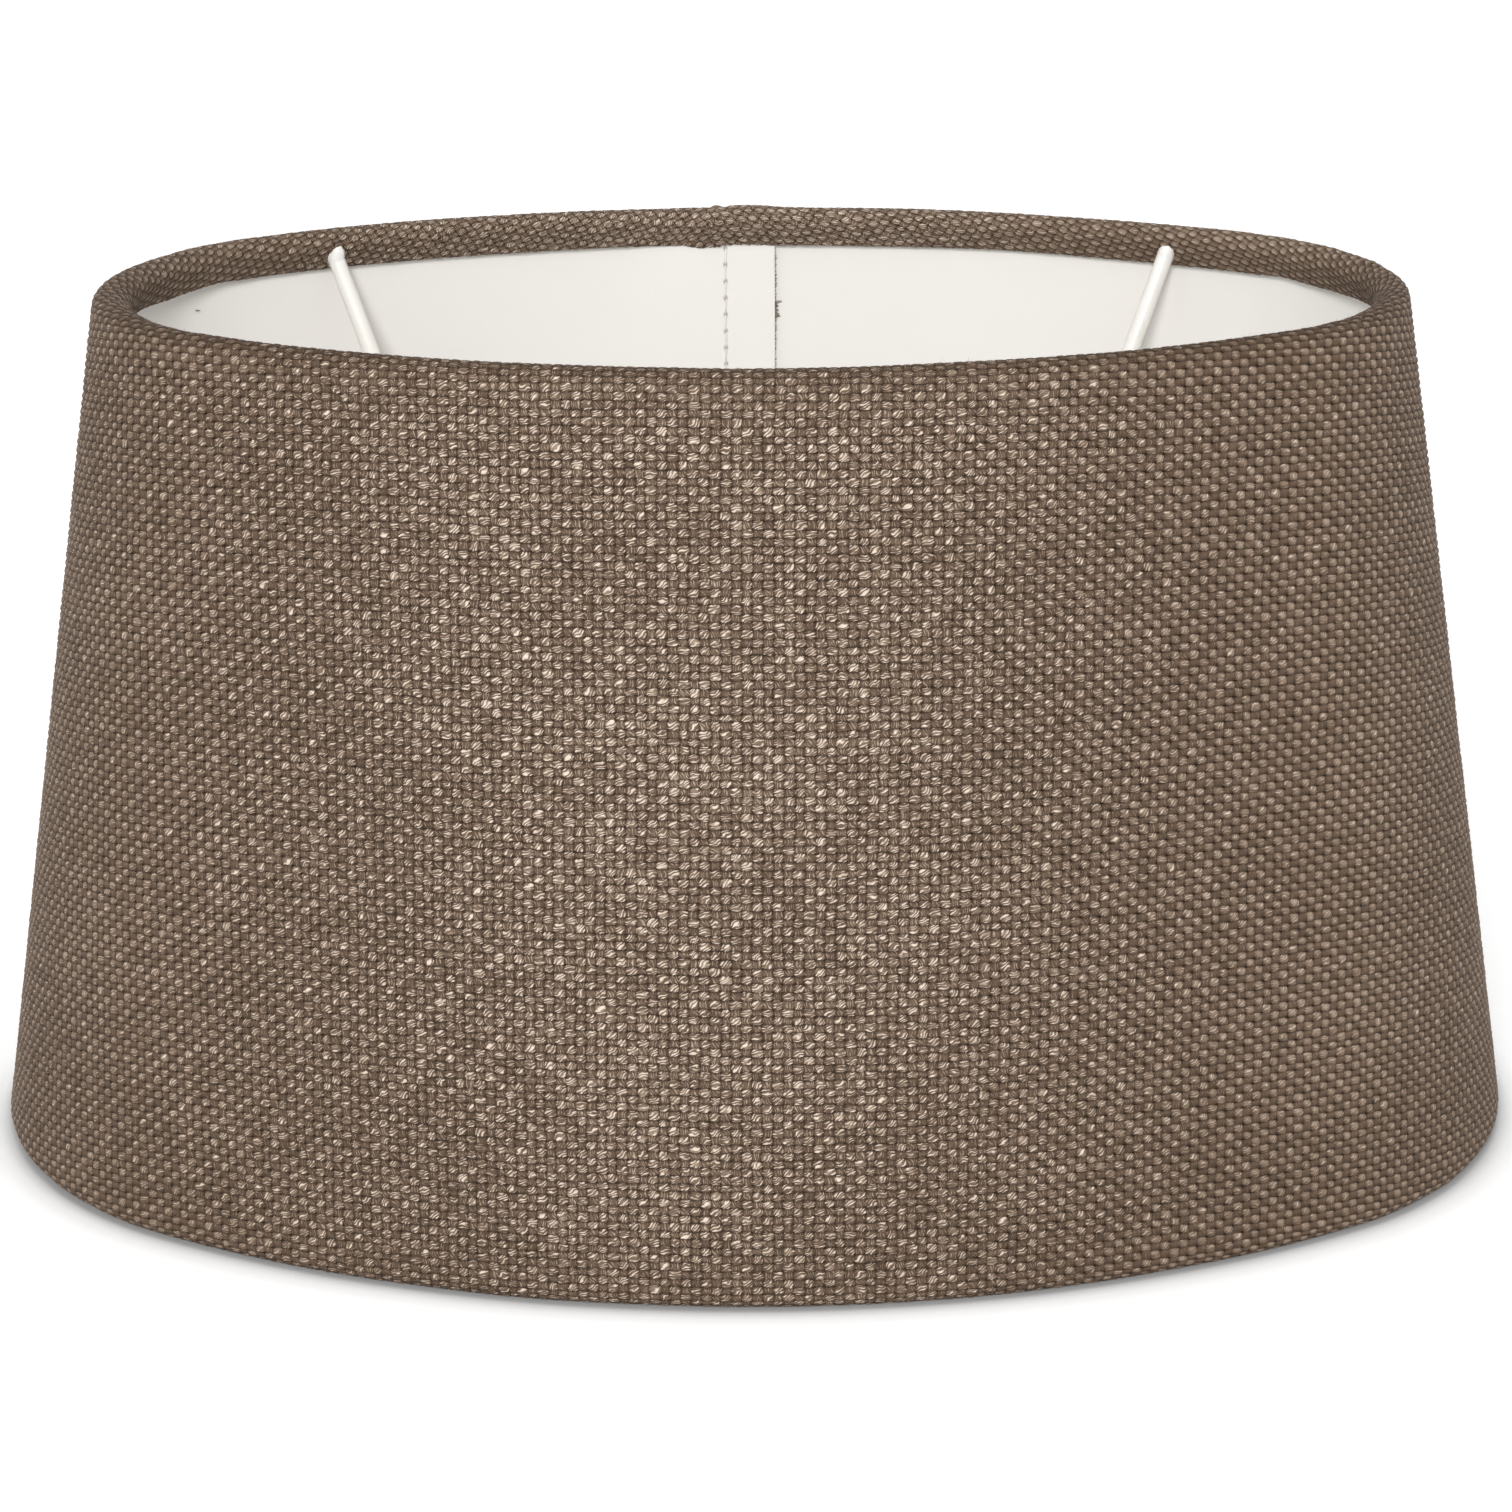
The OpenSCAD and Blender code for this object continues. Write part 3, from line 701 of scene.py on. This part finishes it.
# ---------------------------------------------------------------- the lining
def add_lining():
    """One stiff sheet all round, whose left end laps inside the right end at the back. The mesh is closed.
    Its flat size is its girth at half height by its reach up the wall."""
    rise = WALL_L - 2 * ROLL_R
    middle = radius_at(np.array(math.pi), WALL_L / 2)
    left_end = math.pi - LAP_EDGE_X / middle
    right_end = math.pi + (-OUTER_EDGE_X) / middle
    # The mesh is finer at the lap, which reaches a little way to both sides of the middle of the back.
    lap_from, lap_to = -math.pi + 0.13, math.pi - 0.05
    fine = np.linspace(left_end - 2 * math.pi, lap_from, 60)
    coarse = np.linspace(lap_from, lap_to, 520)[1:]
    last = np.linspace(lap_to, right_end, 24)[1:]
    stations = np.concatenate([fine, coarse, last])
    levels = np.linspace(0, rise, 56)
    s, h = np.meshgrid(stations, levels, indexing="ij")
    up = ROLL_R + h
    reach = radius_at(np.full_like(s, math.pi), up)
    # Near the seam the sheet's ends stand straight up. Further round, its stations fan out with the cone.
    start = s < 0
    lateral = np.where(start, (-math.pi - s) * middle, 1e3)
    from_seam = math.pi - np.abs(s)
    fan = smooth(from_seam, 0.15, 0.6)
    straight = np.sign(s) * (math.pi - from_seam * middle / reach)
    d = fan * s + (1 - fan) * straight
    d = np.where(d > math.pi, d - 2 * math.pi, d)
    d = np.where(d < -math.pi, d + 2 * math.pi, d)
    lap = np.where(start, 1 - smooth(-lateral, -OUTER_EDGE_X + 1, -OUTER_EDGE_X + 22), 0)
    ripple = 0.10 * wander(s * 100 + h * 0.4, step=17.0, seed=31)
    ripple = ripple * smooth(h, 0, 12) * smooth(rise - h, 0, 12)
    pucker = np.where(start, 0.10 * np.exp(-((lateral - SEWN_LINE_X) / 1.3) ** 2), 0)
    shift = -LAP_STEP * lap + ripple * (1 - lap) + pucker
    inner, outer = on_shade(d, LINING_IN + shift, up), on_shade(d, LINING_IN + LINING_T + shift, up)
    n, m = s.shape
    grid = grid_faces(n, m)
    count = n * m
    verts = np.concatenate([inner.reshape(-1, 3), outer.reshape(-1, 3)])
    rim = np.concatenate([np.arange(m), np.arange(1, n) * m + m - 1,
                          (n - 1) * m + np.arange(m - 2, -1, -1), np.arange(n - 2, 0, -1) * m])
    nxt = np.roll(rim, -1)
    edge = np.stack([rim, rim + count, nxt + count, nxt], -1)
    faces = np.concatenate([grid[:, ::-1], grid + count, edge])
    first_hole = (WALL_L - STITCH_N * STITCH_PITCH) / 2
    seam = np.stack([np.where(start, lateral - SEWN_LINE_X, 50.0), (up - first_hole) / STITCH_PITCH,
                     np.zeros_like(up)], -1).reshape(-1, 3)
    piece = add_mesh("lining_sheet", verts, faces, LINING,
                     attributes={"seam": np.concatenate([seam, seam])})
    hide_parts("lining")


# ---------------------------------------------------------------- threads and loose ends
def stitch_row(name, out, rise, material, node_name):
    """A row of stitches of two-ply thread. Each rises from its needle hole and sinks into the next.
    It is on the outer face where out is over 1, and on the lining where it is less."""
    ply_r, twists = 0.10, 2.6
    outward = np.sign(out - 1)
    shapes = []
    start = (WALL_L - STITCH_N * STITCH_PITCH) / 2
    for i in range(STITCH_N):
        s = np.linspace(0, 1, 15)
        up = start + (i + 0.04 + 0.92 * s) * STITCH_PITCH
        lift = rise * np.sin(math.pi * s) ** 0.5 * outward
        drift = 0.10 * math.sin(2.4 * i) + 0.18 * (s - 0.5)
        for ply in (0, math.pi):
            twist = 2 * math.pi * twists * s + ply
            x = SEWN_LINE_X + drift + ply_r * np.cos(twist)
            depth = out + lift + ply_r * np.sin(twist) - (rise - 0.05) * outward
            path = on_shade(back_direction(x, up), depth, up)
            radii = 0.15 * (1 - 0.5 * np.abs(2 * s - 1) ** 6)
            shapes.append(tube(path, radii, 8))
    verts, faces = join_shapes(shapes)
    piece = add_mesh(name, verts, faces, material)
    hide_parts(node_name)


def fibre(base, heading, length, curl, thick, sides=3, steps=6):
    """A thin curved hair from a base point."""
    s = np.linspace(0, 1, steps)[:, None]
    bend = np.cross(heading, curl)
    path = base + length * (s * heading + 0.5 * s ** 2 * bend * np.linalg.norm(curl))
    return tube(path, thick * (1 - 0.7 * s[:, 0]), sides)


def add_fuzz():
    """Loose fibres that stand off the cloth, thickest along the rims."""
    shapes = []
    for kind, count in (("wall", 1500), ("top", 700), ("bottom", 400)):
        d = rng.uniform(-math.pi + 0.02, math.pi - 0.06, count)
        over = rng.uniform(0, 6.5, count)
        t = {"wall": rng.uniform(2, WALL_L - 2, count), "top": WALL_L + over, "bottom": -over}[kind]
        base = cloth_points(d, t, np.full(count, -0.1))
        tip = cloth_points(d, t, np.full(count, 0.9))
        normal = tip - base
        for p, n in zip(base, normal):
            heading = n + rng.normal(0, 0.75, 3)
            heading /= np.linalg.norm(heading)
            size = rng.uniform(0.4, 1.1) if kind == "wall" else rng.uniform(0.3, 0.9)
            hair = fibre(p, heading, size, rng.normal(0, 0.6, 3), rng.uniform(0.018, 0.034))
            if hair[0][:, 2].min() > 0:
                shapes.append(hair)
    # One scrap of yarn has stuck to the lining, inside on the left.
    scrap, heading = np.array(SCRAP_AT), np.array(SCRAP_HEADING)
    shapes.append(fibre(scrap, heading, 0.9, rng.normal(0, 0.4, 3), 0.2, 6))
    verts, faces = join_shapes(shapes)
    add_mesh("loose_fibres", verts, faces, LOOSE_FIBRE)


def add_lap_ends():
    """Cut yarn ends that peep out along the lining's lapped edge, and one frayed knot, as two pieces."""
    wall_out, wall_up, side = wall_axes(np.array(math.pi))
    out = LINING_IN - 0.15
    shapes = []
    for up in np.arange(7.5, WALL_L - 8.5, WEFT_PITCH * 0.34):
        at = up + rng.uniform(-0.25, 0.25)
        x = LAP_EDGE_X + rng.uniform(-0.4, -0.1)
        base = on_shade(back_direction(x, at), out, np.array(at))
        heading = -side * 0.9 + wall_up * rng.uniform(0.2, 0.75)
        heading /= np.linalg.norm(heading)
        shapes.append(fibre(base, heading, rng.uniform(0.35, 0.75), rng.normal(0, 0.5, 3),
                            rng.uniform(0.12, 0.22), 6, 5))
    verts, faces = join_shapes(shapes)
    add_mesh("lap_yarn_ends", verts, faces, LOOSE_FIBRE)
    shapes = []
    for _ in range(34):
        at = KNOT_UP + rng.uniform(-1.6, 1.6)
        base = on_shade(back_direction(LAP_EDGE_X - 0.1, at), out - 0.1, np.array(at))
        heading = -side * rng.uniform(0.2, 1) + wall_up * rng.normal(0, 0.9)
        heading = heading - wall_out * rng.uniform(0, 0.8)
        heading /= np.linalg.norm(heading)
        shapes.append(fibre(base, heading, rng.uniform(0.35, 0.75), rng.normal(0, 0.6, 3),
                            rng.uniform(0.12, 0.22), 5, 8))
    # Short thick ends make up the knot's body.
    for rise, length in ((-1.6, 1.2), (-1.1, 1.0), (-0.2, 0.8), (0.6, 0.8), (1.5, 1.6)):
        at = KNOT_UP + rise
        base = on_shade(back_direction(LAP_EDGE_X - 0.1, at), out - 0.05, np.array(at))
        heading = -side * 0.95 + wall_up * 0.15
        shapes.append(fibre(base, heading, length, rng.normal(0, 0.4, 3), 0.40, 8, 6))
    verts, faces = join_shapes(shapes)
    add_mesh("frayed_knot", verts, faces, TAUPE_THREAD)


# ---------------------------------------------------------------- the frame
def arm_tip(far, wrap):
    """The painted weld that tapers from an arm's end round the top ring, up through the hem's slit.
    It reaches wrap degrees round the ring, and far is the arm's direction from the shade's axis."""
    s = np.linspace(0, 1, 14)
    turn = math.radians(180 + ARM_SLOPE) - math.radians(wrap) * s ** 1.3
    depth = np.interp(s, [0, 0.35, 0.7, 1], [3.6, 2.7, 2.25, 2.3])
    reach = ARM_X / abs(far.x) + depth * np.cos(turn)
    up = HEIGHT - ROLL_R + depth * np.sin(turn)
    path = reach[:, None] * np.array(far) + up[:, None] * np.array([0, 0, 1.0])
    radii = np.interp(s, [0, 0.3, 0.7, 1], [ARM_WIRE_D / 2 + 0.01, 1.62, 1.25, 0.45])
    return tube(path, radii, 16)


def add_welds():
    """Brazed fillets where the arms meet the lampholder ring's rim, and the arms' welds to the top ring."""
    rings, sides = 9, 24
    shapes = []
    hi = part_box("fitter_ring")[1]
    rim_r, mid_z = hi.x / MM, hi.z / MM - ARM_WIRE_D / 2
    for name in ARMS:
        a_lo, a_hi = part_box(name)
        far = Vector(((a_lo.x + a_hi.x) / 2, (a_lo.y + a_hi.y) / 2, 0)).normalized()
        across = Vector((-far.y, far.x, 0))
        lots = np.random.default_rng(len(shapes) + 40)
        a = np.linspace(0, 2 * math.pi, sides, endpoint=False)
        lump = 1 + 0.10 * np.sin(3 * a + lots.uniform(0, 6)) + 0.06 * np.sin(5 * a + lots.uniform(0, 6))
        verts = []
        for step in np.linspace(0, 1, rings):
            r = ARM_WIRE_D / 2 + 0.03 + 0.85 * (1 - step) ** 2.2 * lump
            x = rim_r - 0.35 + 2.6 * step
            flatten = 0.8 if step < 0.5 else 1.0
            for q, rr in zip(a, r):
                up = Vector((0, 0, mid_z + flatten * rr * math.sin(q)))
                verts.append(list(far * x + across * (rr * math.cos(q)) + up))
        shapes.append((np.array(verts), grid_faces(rings, sides, wrap_columns=True)))
        shapes.append(arm_tip(far, LEFT_WRAP if far.x < 0 else RIGHT_WRAP))
    verts, faces = join_shapes(shapes)
    add_mesh("arm_welds", verts, faces, PAINT)


def finish_cad_nodes():
    """Paints the CAD model's own wires and lampholder ring."""
    for name in ("top_ring", "bottom_ring", "fitter_ring", *ARMS):
        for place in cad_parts[name].material_slots:
            place.material = PAINT


# ---------------------------------------------------------------- camera, floor and light
def add_camera():
    data = bpy.data.cameras.new("camera")
    data.sensor_width = SENSOR
    data.lens = LENS
    camera = bpy.data.objects.new("camera", data)
    bpy.context.scene.collection.objects.link(camera)
    look = Euler((math.pi / 2 - CAMERA_PITCH, 0, 0)).to_matrix() @ Matrix.Rotation(CAMERA_ROLL, 3, "Z")
    camera.matrix_world = Matrix.Translation(CAMERA_PLACE) @ look.to_4x4()
    bpy.context.scene.camera = camera


def add_floor():
    mesh = bpy.data.meshes.new("studio_floor")
    r = FLOOR_REACH
    mesh.from_pydata([(-r, -r, 0), (r, -r, 0), (r, r, 0), (-r, r, 0)], [], [(0, 1, 2, 3)])
    mesh.materials.append(floor_material())
    floor = bpy.data.objects.new("studio_floor", mesh)
    bpy.context.scene.collection.objects.link(floor)


def add_light(name, size, energy, place, target=(0, 0, 0.08), spread=180):
    """A round area light, with its size and place in metres and its spread in degrees."""
    data = bpy.data.lights.new(name, "AREA")
    data.spread = math.radians(spread)
    data.shape = "DISK"
    data.size = size
    data.energy = energy
    lamp = bpy.data.objects.new(name, data)
    lamp.location = place
    lamp.rotation_euler = (Vector(target) - Vector(place)).to_track_quat("-Z", "Y").to_euler()
    bpy.context.scene.collection.objects.link(lamp)


def add_studio():
    """A white surround and three soft lights. The narrow key light stands in front."""
    world = bpy.data.worlds.new("studio")
    world.use_nodes = True
    background = world.node_tree.nodes["Background"]
    background.inputs["Color"].default_value = (1, 1, 1, 1)
    # The sky is dimmer overhead than at the level of the floor.
    sky = node(world.node_tree, "ShaderNodeTexCoord").outputs["Generated"]
    overhead = node(world.node_tree, "ShaderNodeSeparateXYZ", i0=sky).outputs[2]
    strength = ramp(world.node_tree, overhead, [(0.03, 0.90), (0.3, 0.70), (0.8, 0.70)])
    world.node_tree.links.new(strength, background.inputs["Strength"])
    bpy.context.scene.world = world
    bpy.context.scene.view_settings.view_transform = "Standard"
    add_light("key", size=0.42, energy=0.72, place=(-0.16, -1.28, 0.78),
              target=(0, -0.09, 0.125), spread=36)
    add_light("left", size=0.9, energy=1.0, place=(-1.25, -1.1, 0.9))
    add_light("right", size=0.9, energy=0.5, place=(1.25, -1.1, 0.9))


add_camera()
add_floor()
add_studio()
add_cloth()
add_lining()
stitch_row("needle_thread_stitches", ROLL_R + 0.05, 0.25, TAUPE_THREAD,
           "seam_needle_thread")
stitch_row("bobbin_thread_stitches", LINING_IN - LAP_STEP - 0.02, 0.22, WHITE_THREAD,
           "seam_bobbin_thread")
add_fuzz()
add_lap_ends()
add_welds()
finish_cad_nodes()
